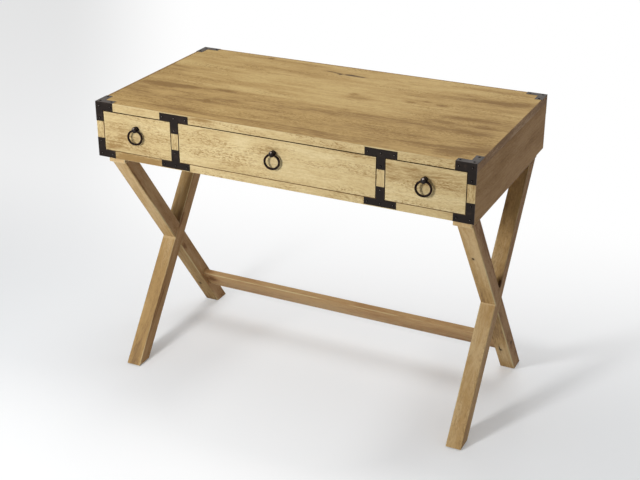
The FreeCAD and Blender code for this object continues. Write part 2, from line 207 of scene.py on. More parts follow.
BATTEN_TONE_MARKS = [stain(-0.25, 0, 0.06, 0.06, -0.40, deep=0.06)]
TONE_MARKS = {
    "top_panel": [
        stain(-0.425, -0.075, 0.060, 0.020, 0.30), stain(-0.350, -0.066, 0.040, 0.012, 0.20),
        stain(-0.280, -0.095, 0.110, 0.030, -0.14), stain(-0.242, -0.056, 0.045, 0.014, 0.26),
        stain(-0.247, -0.147, 0.022, 0.016, 0.18), stain(-0.084, -0.016, 0.050, 0.020, 0.18),
        stain(0.059, 0.061, 0.016, 0.012, 0.28), stain(0.207, 0.063, 0.020, 0.009, 0.32),
        stain(0.245, 0.081, 0.014, 0.006, 0.24), stain(0.291, 0.069, 0.022, 0.010, 0.36),
        stain(0.372, 0.001, 0.070, 0.018, 0.20), stain(0.439, -0.036, 0.040, 0.016, 0.20),
        stain(0.134, 0.175, 0.040, 0.010, 0.18), stain(0.324, 0.171, 0.050, 0.014, 0.16),
        stain(0.469, 0.163, 0.040, 0.014, 0.26), stain(0.472, -0.181, 0.040, 0.030, 0.20),
        stain(-0.180, 0.236, 0.170, 0.013, 0.20), stain(-0.180, 0.172, 0.150, 0.018, 0.22),
        stain(0.330, -0.178, 0.150, 0.050, 0.14), stain(0, -0.262, 0.70, 0.040, -0.06),
        # The second mark on the next line is painted highlight: the back half of the top made paler, as a
        # sheen of light across it
        stain(-0.2750, 0.2474, 0.018, 0.006, 0.50), stain(0, 0.120, 0.55, 0.180, -0.15),
        # The two marks on the next line are painted shade: dark lines along the top's left and back arrises
        stain(-0.4955, 0, 0.008, 0.60, 0.80), stain(0, 0.2680, 1.2, 0.009, 0.80),
        stain(-0.36, -0.05, 0.16, 0.20, 0.06), stain(0.40, 0, 0.15, 0.20, 0.08),
        stain(0, 0.02, 0.22, 0.14, -0.13), stain(0.425, -0.228, 0.050, 0.028, 0.36),
        stain(0.415, 0.150, 0.080, 0.022, 0.26), stain(-0.275, -0.212, 0.080, 0.045, 0.20),
        stain(0.430, -0.086, 0.050, 0.028, 0.20), stain(0.075, 0.034, 0.055, 0.024, 0.32),
        stain(-0.380, -0.132, 0.055, 0.022, -0.26), stain(-0.377, 0.039, 0.080, 0.024, -0.26),
        stain(-0.136, -0.014, 0.050, 0.020, 0.15), stain(-0.290, 0.141, 0.070, 0.020, 0.16),
        stain(-0.404, 0.147, 0.050, 0.020, 0.16), stain(0.326, -0.044, 0.050, 0.020, 0.14),
        stain(0.222, -0.230, 0.060, 0.025, 0.14), stain(-0.118, -0.111, 0.060, 0.022, -0.20),
        stain(0.120, 0.149, 0.450, 0.020, 0.13), stain(0.240, 0.061, 0.060, 0.020, 0.14),
        stain(-0.224, 0.054, 0.075, 0.024, -0.22), stain(0.390, -0.172, 0.090, 0.022, -0.20),
    ],
    "top_front": [stain(-0.190, -0.270, 0.035, 0.05, 0.20)],
    "bottom_front": [stain(-0.370, -0.270, 0.130, 0.05, 0.38)],
    "right_side_panel": [stain(0.10, -0.055, 0.30, 0.045, -0.18), stain(-0.05, 0.02, 0.10, 0.03, 0.12)],
    "right_side_front": [stain(-0.270, 0, 0.06, 0.08, 0.16)],
    "left_drawer_front": [
        stain(0, 0, 0.30, 0.12, -0.05), stain(-0.10, 0.04, 0.06, 0.03, 0.12),
        stain(-0.055, 0.014, 0.046, 0.028, 0.16), stain(-0.055, -0.028, 0.055, 0.030, 0.16),
    ],
    "centre_drawer_front": [
        stain(-0.190, -0.019, 0.080, 0.016, 0.20), stain(-0.035, -0.020, 0.050, 0.014, 0.15),
        stain(-0.109, 0.026, 0.032, 0.012, 0.22), stain(0.150, -0.030, 0.060, 0.020, -0.12),
        stain(-0.205, 0.012, 0.075, 0.026, 0.16), stain(-0.085, -0.032, 0.060, 0.022, -0.22),
        stain(0.078, -0.031, 0.075, 0.024, -0.20),
    ],
    "right_drawer_front": [
        stain(0, 0.017, 0.400, 0.015, -0.15), stain(0, 0.042, 0.400, 0.026, -0.16),
        stain(0, -0.016, 0.400, 0.020, -0.01), stain(0, -0.049, 0.400, 0.015, -0.20),
    ],
    "right_back_leg": [
        # The upper part made paler: partly the wood, partly painted light where the case shades it
        stain(0.25, 0, 0.30, 0.08, -0.34, -0.0241, 0.012),
        stain(-0.27, -0.005, 0.09, 0.03, -0.35, -0.024, 0.02),
    ],
    "left_back_leg": [
        stain(0.25, 0, 0.30, 0.08, -0.10, -0.0241, 0.012),
        # Painted shade: darker near the crossing
        stain(-0.055, 0.020, 0.022, 0.010, 0.40, -0.014, 0.009),
        stain(0.28, 0.021, 0.13, 0.005, 0.55, -0.022, 0.006),
    ],
    "right_front_leg": [
        stain(0.25, 0, 0.22, 0.08, 0.24, deep=0.08), stain(-0.22, 0, 0.25, 0.08, 0.05, deep=0.08),
        # Painted highlight: a pale line at the lap's shoulder
        stain(-0.0200, 0.016, 0.004, 0.010, -0.45, deep=0.06),
    ],
    "left_front_leg": [
        # Painted highlight: a pale line at the lap's shoulder
        stain(-0.0225, 0.016, 0.004, 0.010, -0.45, deep=0.06),
        # Painted shade: darker in the angle above the crossing
        stain(0.036, 0.016, 0.030, 0.020, 0.35, 0.017, 0.020),
    ],
    "left_batten": BATTEN_TONE_MARKS,
    "right_batten": BATTEN_TONE_MARKS,
    "stretcher": [
        # The second mark on the next line is painted shade where the stretcher meets the left leg
        stain(0, 0, 1.20, 0.20, -0.26, deep=0.20), stain(-0.425, -0.010, 0.025, 0.030, 0.60, deep=0.030),
    ],
}
# A knot has its centre and its reach along, across and into the board
KNOTS = {
    "top_panel": [
        ((-0.0740, 0.2072, 0.0105), (0.014, 0.0022, 0.01)),
        ((-0.0550, 0.2020, 0.0105), (0.009, 0.0020, 0.01)),
        ((-0.0431, 0.1964, 0.0105), (0.0045, 0.0045, 0.01)),
        ((-0.0140, 0.1992, 0.0105), (0.020, 0.0050, 0.01)),
        ((0.0150, 0.1968, 0.0105), (0.013, 0.0028, 0.01)),
    ],
    "right_back_leg": [
        ((0.2257, -0.0045, -0.0241), (0.0046, 0.0030, 0.004)),
        ((-0.2450, -0.0058, -0.0241), (0.016, 0.0017, 0.004)),
        ((-0.2520, -0.0035, -0.0241), (0.0050, 0.0032, 0.004)),
        ((-0.2389, 0.0200, -0.0019), (0.006, 0.004, 0.004)),
    ],
    "right_front_leg": [((0.0346, 0.0159, 0.0177), (0.011, 0.006, 0.005))],
    "left_back_leg": [((-0.2590, -0.0035, -0.0241), (0.0055, 0.0035, 0.004))],
}


# Stage in metres, watts and millimetres of lens: a light has its place, target, size and power

LIGHTS = {
    "near_softbox": ((-0.56, -1.72, 1.25), (0.0, -0.2, 0.5), (0.32, 0.32), 23.5),
    "front_softbox": ((-1.25, -3.4, 2.35), (0.0, 0.0, 0.5), (1.0, 1.0), 8),
    "low_softbox": ((0.3, -2.7, 0.35), (0.1, 0.0, 0.4), (1.6, 0.5), 4),
    "back_softbox": ((0.2, 1.7, 2.5), (0.0, 0.0, 0.6), (2.2, 1.2), 22),
    "overhead_softbox": ((-0.3, 0.1, 3.2), (0.0, 0.0, 0.5), (2.4, 2.0), 20),
}
WORLD_LIGHT = 0.27
CAMERA_PLACE = (1.2641, -2.63912, 1.7271)
CAMERA_PITCH = math.radians(65.22)
CAMERA_TURN = math.radians(25.675)
CAMERA_LENS = 69.5
CAMERA_SENSOR = 36.0
CAMERA_REACH = 3.38
VIEW_SLOPE = 0.91
VIEW_WAY = (-0.43, 0.9, 0)
VIEW_RIGHT = (0.9, 0.43, 0)
FLOOR_SIZE = 12.0
FLOOR_BACK_WAY = (-0.15, 0.95, 0)
FLOOR_MIDDLE = 0.02
# Shares of white glow on the floor: at the back a white backdrop; at the front a painted pool of light; in
# the middle painted light over the stretcher's shadow; to the left of the view painted shade
FLOOR_WHITE = {
    "back": (-0.2, 1.15, 0.13, 1.0), "front": (-0.2, -0.7, 0.0, 0.85), "middle": (0.44, 0.15, 0.0, 0.40),
    "left_of_view": (-0.215, -0.10, 0.66, 1.0),
}


# Sizes and colours that a user would change

def length_setting(label, text, value, least=0.0):
    """Setting of a length in metres."""
    return FloatProperty(name=label, description=text, default=value, min=least, unit="LENGTH")


def colour_setting(label, text, value):
    """Setting of a colour in linear red, green and blue."""
    return FloatVectorProperty(name=label, description=text, default=value, subtype="COLOR", min=0, max=1)


class DeskDetailSettings(bpy.types.PropertyGroup):
    """Sizes of the small forms on the boards and the ironwork."""

    board_easing: length_setting("Board Easing", "Radius sanded on the exposed edges of a board", 0.0009)
    top_easing: length_setting("Top Easing", "Radius sanded on the edges of the top", 0.0016)
    leg_easing: length_setting("Leg Easing", "Radius sanded on the legs, battens and stretcher", 0.0020)
    plate_easing: length_setting("Plate Easing", "Radius filed on the edges of an iron plate", 0.0004)
    screw_slot: length_setting("Screw Slot", "Width of the slot across a screw head", 0.0008)
    ring_wire: length_setting("Ring Wire", "Radius of the wire that a pull ring is bent from", 0.0027, 0.0005)
    ring_turn: FloatProperty(
        name="Ring Turn", description="How far a ring hangs turned away from square to its drawer",
        default=math.radians(9), unit="ROTATION", subtype="ANGLE")
    round_steps: IntProperty(
        name="Round Steps", description="Number of steps around a ball-headed post",
        default=48, min=12, max=128)


class DeskFinishSettings(bpy.types.PropertyGroup):
    """Colours of the wood, the ironwork and the floor."""

    top_pale: colour_setting("Top Pale", "Lightest wood of the top", (0.565, 0.4, 0.163))
    top_mid: colour_setting("Top Middle", "Usual wood of the top", (0.455, 0.298, 0.11))
    top_deep: colour_setting("Top Deep", "Dark streaks in the top", (0.25, 0.145, 0.049))
    front_pale: colour_setting("Front Pale", "Lightest wood of the front", (0.57, 0.462, 0.254))
    front_mid: colour_setting("Front Middle", "Usual wood of the front", (0.49, 0.372, 0.185))
    front_deep: colour_setting("Front Deep", "Dark streaks in the front", (0.27, 0.168, 0.064))
    side_pale: colour_setting("Side Pale", "Lightest wood of the case sides and back", (0.34, 0.189, 0.065))
    side_mid: colour_setting("Side Middle", "Usual wood of the case sides and back", (0.268, 0.142, 0.045))
    side_deep: colour_setting("Side Deep", "Dark streaks in the case sides and back", (0.162, 0.081, 0.025))
    end_pale: colour_setting("End Pale", "Lightest wood on the ends of the top", (0.42, 0.27, 0.14))
    end_mid: colour_setting("End Middle", "Usual wood on the ends of the top", (0.235, 0.13, 0.055))
    end_deep: colour_setting("End Deep", "Dark streaks on the ends of the top", (0.12, 0.06, 0.025))
    leg_pale: colour_setting("Leg Pale", "Lightest wood of the legs", (0.5, 0.355, 0.18))
    leg_mid: colour_setting("Leg Middle", "Usual wood of the legs", (0.39, 0.248, 0.1))
    leg_deep: colour_setting("Leg Deep", "Dark streaks in the legs", (0.21, 0.125, 0.058))
    leg_side_pale: colour_setting(
        "Leg Side Pale", "Lightest wood of the stretcher and the legs' sides", (0.44, 0.285, 0.135))
    leg_side_mid: colour_setting(
        "Leg Side Middle", "Usual wood of the stretcher and the legs' sides", (0.355, 0.205, 0.09))
    leg_side_deep: colour_setting(
        "Leg Side Deep", "Dark streaks in the stretcher and the legs' sides", (0.18, 0.085, 0.032))
    box_pale: colour_setting("Box Pale", "Lightest wood of the drawer boxes", (0.66, 0.52, 0.33))
    box_mid: colour_setting("Box Middle", "Usual wood of the drawer boxes", (0.58, 0.44, 0.27))
    box_deep: colour_setting("Box Deep", "Dark streaks in the drawer boxes", (0.42, 0.30, 0.17))
    # The gap colours are painted shade: dark brown on the divider sides and the drawer fronts' edges in the
    # gaps round the drawers
    gap_pale: colour_setting("Gap Pale", "Lightest wood in the gaps round the drawers", (0.12, 0.072, 0.035))
    gap_mid: colour_setting("Gap Middle", "Usual wood in the gaps round the drawers", (0.075, 0.044, 0.02))
    gap_deep: colour_setting("Gap Deep", "Dark streaks in the gaps round the drawers", (0.04, 0.023, 0.011))
    knot: colour_setting("Knot", "Dark heart of a knot, hole or crack in the wood", (0.06, 0.028, 0.008))
    iron: colour_setting("Iron", "Dark brown-black of the plates", (0.011, 0.0075, 0.006))
    iron_worn: colour_setting("Worn Iron", "Rubbed patches and edges of the plates", (0.040, 0.026, 0.019))
    pull: colour_setting("Pull", "Brown-black of the rings", (0.012, 0.007, 0.006))
    pull_worn: colour_setting("Worn Pull", "Rubbed red-brown of the rings", (0.07, 0.03, 0.02))
    post: colour_setting("Post", "Brown-black of the ball-headed posts", (0.010, 0.006, 0.005))
    # The worn post colour is mostly a painted highlight, the bright spot on each ball, with faint rubbed
    # patches
    post_worn: colour_setting("Worn Post", "Rubbed bright spot on the balls", (0.48, 0.41, 0.37))
    screw: colour_setting("Screw", "Dark steel of the plate screws", (0.005, 0.004, 0.0035))
    # The worn screw colour is mostly a painted highlight on the crowns of the front and back screws, with
    # faint rubbed patches
    screw_worn: colour_setting("Worn Screw", "Rubbed steel of the plate screws", (0.17, 0.15, 0.135))
    steel: colour_setting("Steel", "Screws in the drawers and under the battens", (0.56, 0.55, 0.52))
    glide: colour_setting("Glide", "Plastic of the glides under the feet", (0.10, 0.065, 0.04))
    floor: colour_setting("Floor", "Pale studio floor", (0.915, 0.935, 0.955))


def detail():
    """Sizes that the user has set."""
    return bpy.context.scene.desk_detail


def finish():
    """Colours that the user has set."""
    return bpy.context.scene.desk_finish


def shade(name, strength=1.0):
    """One of the set colours with full opacity, darker or lighter by a share."""
    return (*(strength * part for part in getattr(finish(), name)), 1)


# Shader nodes

def add_node(tree, kind, inputs=None, **settings):
    """Add a node; an input given a socket is linked to it, any other value is set on the input."""
    made = tree.nodes.new(kind)
    for key, value in settings.items():
        setattr(made, key, value)
    for key, value in (inputs or {}).items():
        socket = made.inputs[key]
        if isinstance(value, bpy.types.NodeSocket):
            tree.links.new(value, socket)
        else:
            socket.default_value = value
    return made


def maths(tree, operation, *values):
    """Result of a sum on single values."""
    return add_node(tree, "ShaderNodeMath", dict(enumerate(values)), operation=operation).outputs[0]


def vectors(tree, operation, *values):
    """Outputs of a sum on vectors."""
    return add_node(tree, "ShaderNodeVectorMath", dict(enumerate(values)), operation=operation).outputs


def noise(tree, vector, cells, depth, roughness):
    """Noise with a number of cells to the metre along each axis."""
    spread = vectors(tree, "MULTIPLY", vector, cells)[0]
    inputs = {"Vector": spread, "Scale": 1.0, "Detail": depth, "Roughness": roughness}
    return add_node(tree, "ShaderNodeTexNoise", inputs).outputs["Fac"]


def clouds(tree, vector, cells, depth=3.0, roughness=0.6):
    """Noise that is equally fine along every axis."""
    return noise(tree, vector, (cells, cells, cells), depth, roughness)


def grain_noise(tree, place, pattern):
    """Noise drawn out along the grain, by its entry in the patterns."""
    along, across, depth, roughness = PATTERNS[pattern]
    return noise(tree, place, (along, across, across), depth, roughness)


def varied(tree, place, pattern):
    """Noise along the grain, above and below zero."""
    return maths(tree, "SUBTRACT", grain_noise(tree, place, pattern), 0.5)


def remap(tree, value, low, high, to_low=0.0, to_high=1.0):
    """Value that passes softly from one end to the other between low and high."""
    inputs = {"Value": value, "From Min": low, "From Max": high, "To Min": to_low, "To Max": to_high}
    return add_node(tree, "ShaderNodeMapRange", inputs, interpolation_type="SMOOTHSTEP").outputs["Result"]


def mix(tree, factor, first, second):
    """Colour between two others."""
    return add_node(tree, "ShaderNodeMix", {0: factor, 6: first, 7: second}, data_type="RGBA").outputs[2]


def attribute(tree, name, output):
    """Value stored on the mesh."""
    return add_node(tree, "ShaderNodeAttribute", attribute_name=name).outputs[output]


def object_place(tree):
    """Place in the object's own coordinates."""
    return add_node(tree, "ShaderNodeTexCoord").outputs["Object"]


def seen_directly(tree):
    """Mask of what the camera sees, straight, mirrored or through glass."""
    path = add_node(tree, "ShaderNodeLightPath").outputs
    seen = maths(tree, "MAXIMUM", path["Is Camera Ray"], path["Is Glossy Ray"])
    return maths(tree, "MAXIMUM", seen, path["Is Transmission Ray"])


# Node groups

SURFACE_SOCKETS = {"Color": "Color", "Roughness": "Float", "Height": "Float"}
MARK_SOCKETS = {"Place": "Vector", "Centre": "Vector", "Reach": "Vector"}


def new_group(name, inputs, outputs):
    """Start a node group; returns its tree, the sockets that it is given and those that it fills."""
    tree = bpy.data.node_groups.new(name, "ShaderNodeTree")
    for way, sockets in (("INPUT", inputs), ("OUTPUT", outputs)):
        for label, kind in sockets.items():
            tree.interface.new_socket(name=label, in_out=way, socket_type="NodeSocket" + kind)
    return tree, tree.nodes.new("NodeGroupInput").outputs, tree.nodes.new("NodeGroupOutput").inputs


def place_group(tree, build, inputs):
    """Place a node group with values of its own, and build it the first time; returns its outputs."""
    group = bpy.data.node_groups.get(build.__name__) or build()
    return add_node(tree, "ShaderNodeGroup", inputs, node_tree=group).outputs


def board_grain():
    """Node group for the grain of one board, or of a panel glued up from planks."""
    tree, given, made = new_group(
        "board_grain",
        {"Place": "Vector", "Seed": "Float", "Plank Width": "Float", "Plank Shift": "Float", "Pale": "Color",
         "Middle": "Color", "Deep": "Color", "Broad": "Float", "Band": "Float", "Streak": "Float",
         "Fibre": "Float", "Fleck": "Float", "Stain": "Float", "Edge": "Color", "Worn Edge": "Float"},
        SURFACE_SOCKETS)
    across = add_node(tree, "ShaderNodeSeparateXYZ", {0: given["Place"]}).outputs["Y"]
    plank = maths(tree, "ADD", maths(tree, "DIVIDE", across, given["Plank Width"]), given["Plank Shift"])
    seed = maths(tree, "ROUND", given["Seed"])
    index = maths(tree, "MULTIPLY_ADD", seed, SEED_JUMP, maths(tree, "FLOOR", plank))
    chance = add_node(tree, "ShaderNodeTexWhiteNoise", {"W": index}, noise_dimensions="1D").outputs
    jump = vectors(tree, "MULTIPLY", chance["Color"], PLANK_JUMP)[0]
    place = vectors(tree, "ADD", given["Place"], jump)[0]
    bend = maths(tree, "MULTIPLY", varied(tree, place, "bend"), BEND)
    sway = add_node(tree, "ShaderNodeCombineXYZ", {"Y": bend, "Z": bend}).outputs[0]
    place = vectors(tree, "ADD", place, sway)[0]
    fibre = varied(tree, place, "fibre")
    ring = add_node(
        tree, "ShaderNodeTexWave",
        {"Vector": vectors(tree, "MULTIPLY", place, RING_STRETCH)[0], "Scale": 36.0, "Distortion": 7.0,
         "Detail": 3.0, "Detail Scale": 0.9, "Detail Roughness": 0.55},
        wave_type="BANDS", bands_direction="Y").outputs["Fac"]
    tone = maths(tree, "SUBTRACT", 0.5, given["Stain"])
    parts = [
        (varied(tree, place, "broad"), given["Broad"]), (varied(tree, place, "band"), given["Band"]),
        (varied(tree, place, "streak"), given["Streak"]), (fibre, given["Fibre"]),
        (maths(tree, "SUBTRACT", ring, 0.5), RING_SHARE),
        (maths(tree, "SUBTRACT", chance["Value"], 0.5), PLANK_SHARE),
    ]
    for part, share in parts:
        tone = maths(tree, "MULTIPLY_ADD", part, share, tone)
    fine = remap(tree, grain_noise(tree, place, "fine_pore"), *FADES["fine_pore"])
    coarse = remap(tree, grain_noise(tree, place, "coarse_pore"), *FADES["coarse_pore"])
    patch = maths(tree, "ADD", given["Stain"], grain_noise(tree, place, "patch"))
    fleck = maths(tree, "MULTIPLY", maths(tree, "MAXIMUM", fine, coarse), remap(tree, patch, *FADES["fleck"]))
    fleck = maths(tree, "MULTIPLY", fleck, given["Fleck"])
    colour = mix(tree, remap(tree, tone, *FADES["middle"]), given["Deep"], given["Middle"])
    colour = mix(tree, remap(tree, tone, *FADES["pale"]), colour, given["Pale"])
    colour = mix(tree, fleck, colour, given["Deep"])
    # Marked eased faces take the Edge colour in patches, which is wear and, for some finishes, painted shade
    # or highlight
    rubbed = remap(tree, grain_noise(tree, place, "rubbed"), *FADES["rubbed"])
    colour = mix(tree, maths(tree, "MULTIPLY", given["Worn Edge"], rubbed), colour, given["Edge"])
    tree.links.new(colour, made["Color"])
    sheen = remap(tree, tone, *FADES["sheen"])
    tree.links.new(maths(tree, "MULTIPLY_ADD", fleck, FLECK_ROUGHNESS, sheen), made["Roughness"])
    raised = maths(tree, "MULTIPLY", fibre, FIBRE_HEIGHT)
    tree.links.new(maths(tree, "MULTIPLY_ADD", fleck, FLECK_HEIGHT, raised), made["Height"])
    return tree


def reach_from(tree, given, raggedness):
    """Distance from a mark's centre in units of its reach, with a ragged outline."""
    away = vectors(tree, "SUBTRACT", given["Place"], given["Centre"])[0]
    share = vectors(tree, "DIVIDE", away, given["Reach"])[0]
    length = vectors(tree, "LENGTH", share)["Value"]
    return maths(tree, "MULTIPLY_ADD", varied(tree, given["Place"], "ragged"), raggedness, length)


def grain_stain():
    """Node group that adds one soft patch of darker or paler grain to a sum of such patches."""
    tree, given, made = new_group(
        "grain_stain", {"Sum": "Float", **MARK_SOCKETS, "Amount": "Float"}, {"Sum": "Float"})
    inside = remap(tree, reach_from(tree, given, STAIN_RAGGED), *FADES["stain"])
    tree.links.new(maths(tree, "MULTIPLY_ADD", inside, given["Amount"], given["Sum"]), made["Sum"])
    return tree


def dark_knot():
    """Node group that darkens a colour in a knot, hole or crack, with a paler brown round it."""
    tree, given, made = new_group(
        "dark_knot", {"Color": "Color", **MARK_SOCKETS, "Knot": "Color"}, {"Color": "Color"})
    away = reach_from(tree, given, KNOT_RAGGED)
    halo = remap(tree, away, *FADES["knot_halo"])
    dark = maths(tree, "MAXIMUM", remap(tree, away, *FADES["knot"]), halo)
    tree.links.new(mix(tree, dark, given["Color"], given["Knot"]), made["Color"])
    return tree


def iron_patina():
    """Node group for dark iron: mottled, rubbed brown in patches and along its edges, and bright where faces
    are marked for a painted highlight.
    """
    tree, given, made = new_group(
        "iron_patina",
        {"Place": "Vector", "Dark": "Color", "Worn": "Color", "Rubbed": "Float", "Worn Edge": "Float"},
        SURFACE_SOCKETS)
    cloud = clouds(tree, given["Place"], CLOUD_CELLS["iron"], 4.0)
    grit = maths(tree, "MULTIPLY", clouds(tree, given["Place"], CLOUD_CELLS["grit"]), GRIT_SHARE)
    rubbed = maths(tree, "MULTIPLY", remap(tree, cloud, *FADES["iron_rubbed"]), given["Rubbed"])
    edge = maths(tree, "MULTIPLY", given["Worn Edge"], remap(tree, cloud, *FADES["iron_edge"]))
    worn = maths(tree, "MAXIMUM", rubbed, edge)
    tree.links.new(mix(tree, worn, given["Dark"], given["Worn"]), made["Color"])
    rough = maths(tree, "ADD", cloud, grit)
    tree.links.new(remap(tree, rough, *FADES["iron_sheen"]), made["Roughness"])
    tree.links.new(maths(tree, "MULTIPLY_ADD", cloud, CLOUD_SHARE, grit), made["Height"])
    return tree


# Materials

def new_material(name, **shader_values):
    """Material with one Principled shader; returns the material, its tree and the shader."""
    material = bpy.data.materials.new(name)
    material.use_nodes = True
    tree = material.node_tree
    shader = tree.nodes["Principled BSDF"]
    for key, value in shader_values.items():
        label = " ".join(word[0].upper() + word[1:] for word in key.split("_"))
        shader.inputs[label].default_value = value
    return material, tree, shader


def add_bump(tree, shader, height, distance, strength):
    """Let a height shape the surface's light."""
    bump = add_node(tree, "ShaderNodeBump", {"Height": height, "Distance": distance, "Strength": strength})
    tree.links.new(bump.outputs["Normal"], shader.inputs["Normal"])


def wood(kind, board="", turn=0.0):
    """Wood of one finish; a named board has marks of tone and knots of its own, and its grain may be turned.
    """
    name = "_".join([kind, "wood"] + [board] * bool(board) + ["turned"] * bool(turn))
    if name in bpy.data.materials:
        return bpy.data.materials[name]
    material, tree, shader = new_material(name, specular_IOR_level=0.0 if kind == "gap" else WOOD_SPECULAR)
    place = attribute(tree, "board_place", "Vector")
    tone_marks = 0.0
    for centre, reach, amount in TONE_MARKS.get(board, ()):
        values = {"Sum": tone_marks, "Place": place, "Centre": centre, "Reach": reach, "Amount": amount}
        tone_marks = place_group(tree, grain_stain, values)["Sum"]
    grain_place = place
    if turn:
        turned = add_node(tree, "ShaderNodeMapping", {"Vector": place, "Rotation": (0, 0, turn)})
        grain_place = turned.outputs[0]
    grain = place_group(tree, board_grain, {
        "Place": grain_place, "Seed": attribute(tree, "board_seed", "Fac"), "Stain": tone_marks,
        "Worn Edge": attribute(tree, "worn_edge", "Fac"), "Edge": shade(EDGE_COLOURS.get(kind, kind + "_pale")),
        "Pale": shade(kind + "_pale"), "Middle": shade(kind + "_mid"), "Deep": shade(kind + "_deep"),
        "Plank Shift": PLANK_SHIFT, **dict(zip(GRAIN_KEYS, GRAIN[kind])), **BOARD_GRAIN.get(board, {})})
    colour = grain["Color"]
    for centre, reach in KNOTS.get(board, ()):
        values = {"Color": colour, "Place": place, "Centre": centre, "Reach": reach, "Knot": shade("knot")}
        colour = place_group(tree, dark_knot, values)["Color"]
    tree.links.new(colour, shader.inputs["Base Color"])
    tree.links.new(grain["Roughness"], shader.inputs["Roughness"])
    add_bump(tree, shader, grain["Height"], *WOOD_BUMP)
    return material


def dark_iron(name, kind, roughness, rubbed=0.55, **shader_values):
    """Brown-black iron, its roughness given as a low and a high end."""
    material, tree, shader = new_material(name, **shader_values)
    patina = place_group(tree, iron_patina, {
        "Place": object_place(tree), "Worn Edge": attribute(tree, "worn_edge", "Fac"), "Rubbed": rubbed,
        "Dark": shade(kind), "Worn": shade(kind + "_worn")})
    tree.links.new(patina["Color"], shader.inputs["Base Color"])
    rough = remap(tree, patina["Roughness"], *PATINA_ROUGHNESS, *roughness)
    tree.links.new(rough, shader.inputs["Roughness"])
    add_bump(tree, shader, patina["Height"], *IRON_BUMP)
    return material


def plate_iron():
    """Dull iron of the plates, with a warm sheen at a low angle."""
    return dark_iron("finish_plate", "iron", (0.42, 0.6), specular_IOR_level=0.1, sheen_weight=0.25,
                     sheen_roughness=0.4, sheen_tint=(1.0, 0.88, 0.78, 1.0))


def post_iron():
    """Iron of the ball-headed posts, with a painted highlight on each ball."""
    return dark_iron("finish_post", "post", (0.3, 0.42), 0.05, specular_IOR_level=0.12)


def ring_iron():
    """Iron of the rings, rubbed by hands."""
    return dark_iron("finish_ring", "pull", (0.22, 0.4), specular_IOR_level=0.04)


def screw_iron():
    """Dark steel of the plate screws, with a painted highlight on the crowns of the front and back ones."""
    return dark_iron("finish_screw", "screw", (0.3, 0.5), 0.05, specular_IOR_level=0.02)


def bright_steel():
    """Zinc plated steel of the hidden screws."""
    material, tree, shader = new_material("finish_steel", metallic=1.0)
    cloud = clouds(tree, object_place(tree), CLOUD_CELLS["steel"])
    tree.links.new(mix(tree, cloud, shade("steel", 0.7), shade("steel")), shader.inputs["Base Color"])
    tree.links.new(remap(tree, cloud, *FADES["steel_sheen"]), shader.inputs["Roughness"])
    return material


def glide_plastic():
    """Brown plastic of the glides, scuffed in places."""
    material, tree, shader = new_material("finish_glide")
    cloud = clouds(tree, object_place(tree), CLOUD_CELLS["glide"])
    scuffs = remap(tree, cloud, *FADES["glide_scuff"])
    tree.links.new(mix(tree, scuffs, shade("glide"), shade("glide", 1.5)), shader.inputs["Base Color"])
    tree.links.new(remap(tree, cloud, *FADES["glide_sheen"]), shader.inputs["Roughness"])
    return material


# Mesh helpers

def merge_flat(bm, reach):
    """Merge doubled vertices and make flat faces whole again."""
    bmesh.ops.remove_doubles(bm, verts=bm.verts[:], dist=reach)
    bmesh.ops.dissolve_limit(bm, angle_limit=FLAT_ANGLE, verts=bm.verts[:], edges=bm.edges[:])


def node_copy(node):
    """Merged copy of a CAD node's mesh."""
    bm = bmesh.new()
    bm.from_mesh(frame["nodes"][node].data)
    merge_flat(bm, NODE_MERGE)
    return bm


def whole(bm):
    """All elements of a bmesh, for a cut through it."""
    return bm.verts[:] + bm.edges[:] + bm.faces[:]


def add_bmesh(target, source, matrix):
    """Join a copy of one bmesh, moved by a matrix, into another."""
    mesh = bpy.data.meshes.new("joined")
    source.to_mesh(mesh)
    mesh.transform(matrix)
    target.from_mesh(mesh)
    bpy.data.meshes.remove(mesh)


def new_mesh(bm, name):
    """Turn a bmesh into a mesh."""
    mesh = bpy.data.meshes.new(name)
    bm.to_mesh(mesh)
    bm.free()
    return mesh


def add_object(name, data):
    """Put a new object into the scene."""
    made = bpy.data.objects.new(name, data)
    bpy.context.scene.collection.objects.link(made)
    return made


def corners(verts):
    """Low and high corner of the box round some vertices."""
    low = Vector([min(v.co[i] for v in verts) for i in range(3)])
    high = Vector([max(v.co[i] for v in verts) for i in range(3)])
    return low, high


def longest_way(bm):
    """Direction of the longest edge."""
    longest = max(bm.edges, key=bmesh.types.BMEdge.calc_length)
    return (longest.verts[1].co - longest.verts[0].co).normalized()


def forward(way):
    """A direction or its opposite, so that its largest part is positive."""
    return -way if max(way, key=abs) < 0 else way


def facing(way):
    """Matrix that turns the Z axis to a direction."""
    return way.to_track_quat("Z", "Y").to_matrix().to_4x4()


def mark_worn(bm, faces):
    """Store on some faces that they take the edge colour, which is wear on most and painted light on some."""
    layers = bm.loops.layers.float
    worn = layers.get("worn_edge") or layers.new("worn_edge")
    for face in faces:
        for loop in face.loops:
            loop[worn] = 1.0


NODE_TREES = {}


def node_tree_of(node):
    """Search tree of a CAD node's mesh, made the first time it is asked for."""
    if node not in NODE_TREES:
        mesh = frame["nodes"][node].data
        places = [v.co.copy() for v in mesh.vertices]
        NODE_TREES[node] = BVHTree.FromPolygons(places, [tuple(p.vertices) for p in mesh.polygons])
    return NODE_TREES[node]


def covered(point, own):
    """Tell whether another CAD node lies against a point of this one."""
    others = (node for node in frame["nodes"] if node != own)
    return any(node_tree_of(node).find_nearest(point, TOUCH_REACH)[0] is not None for node in others)


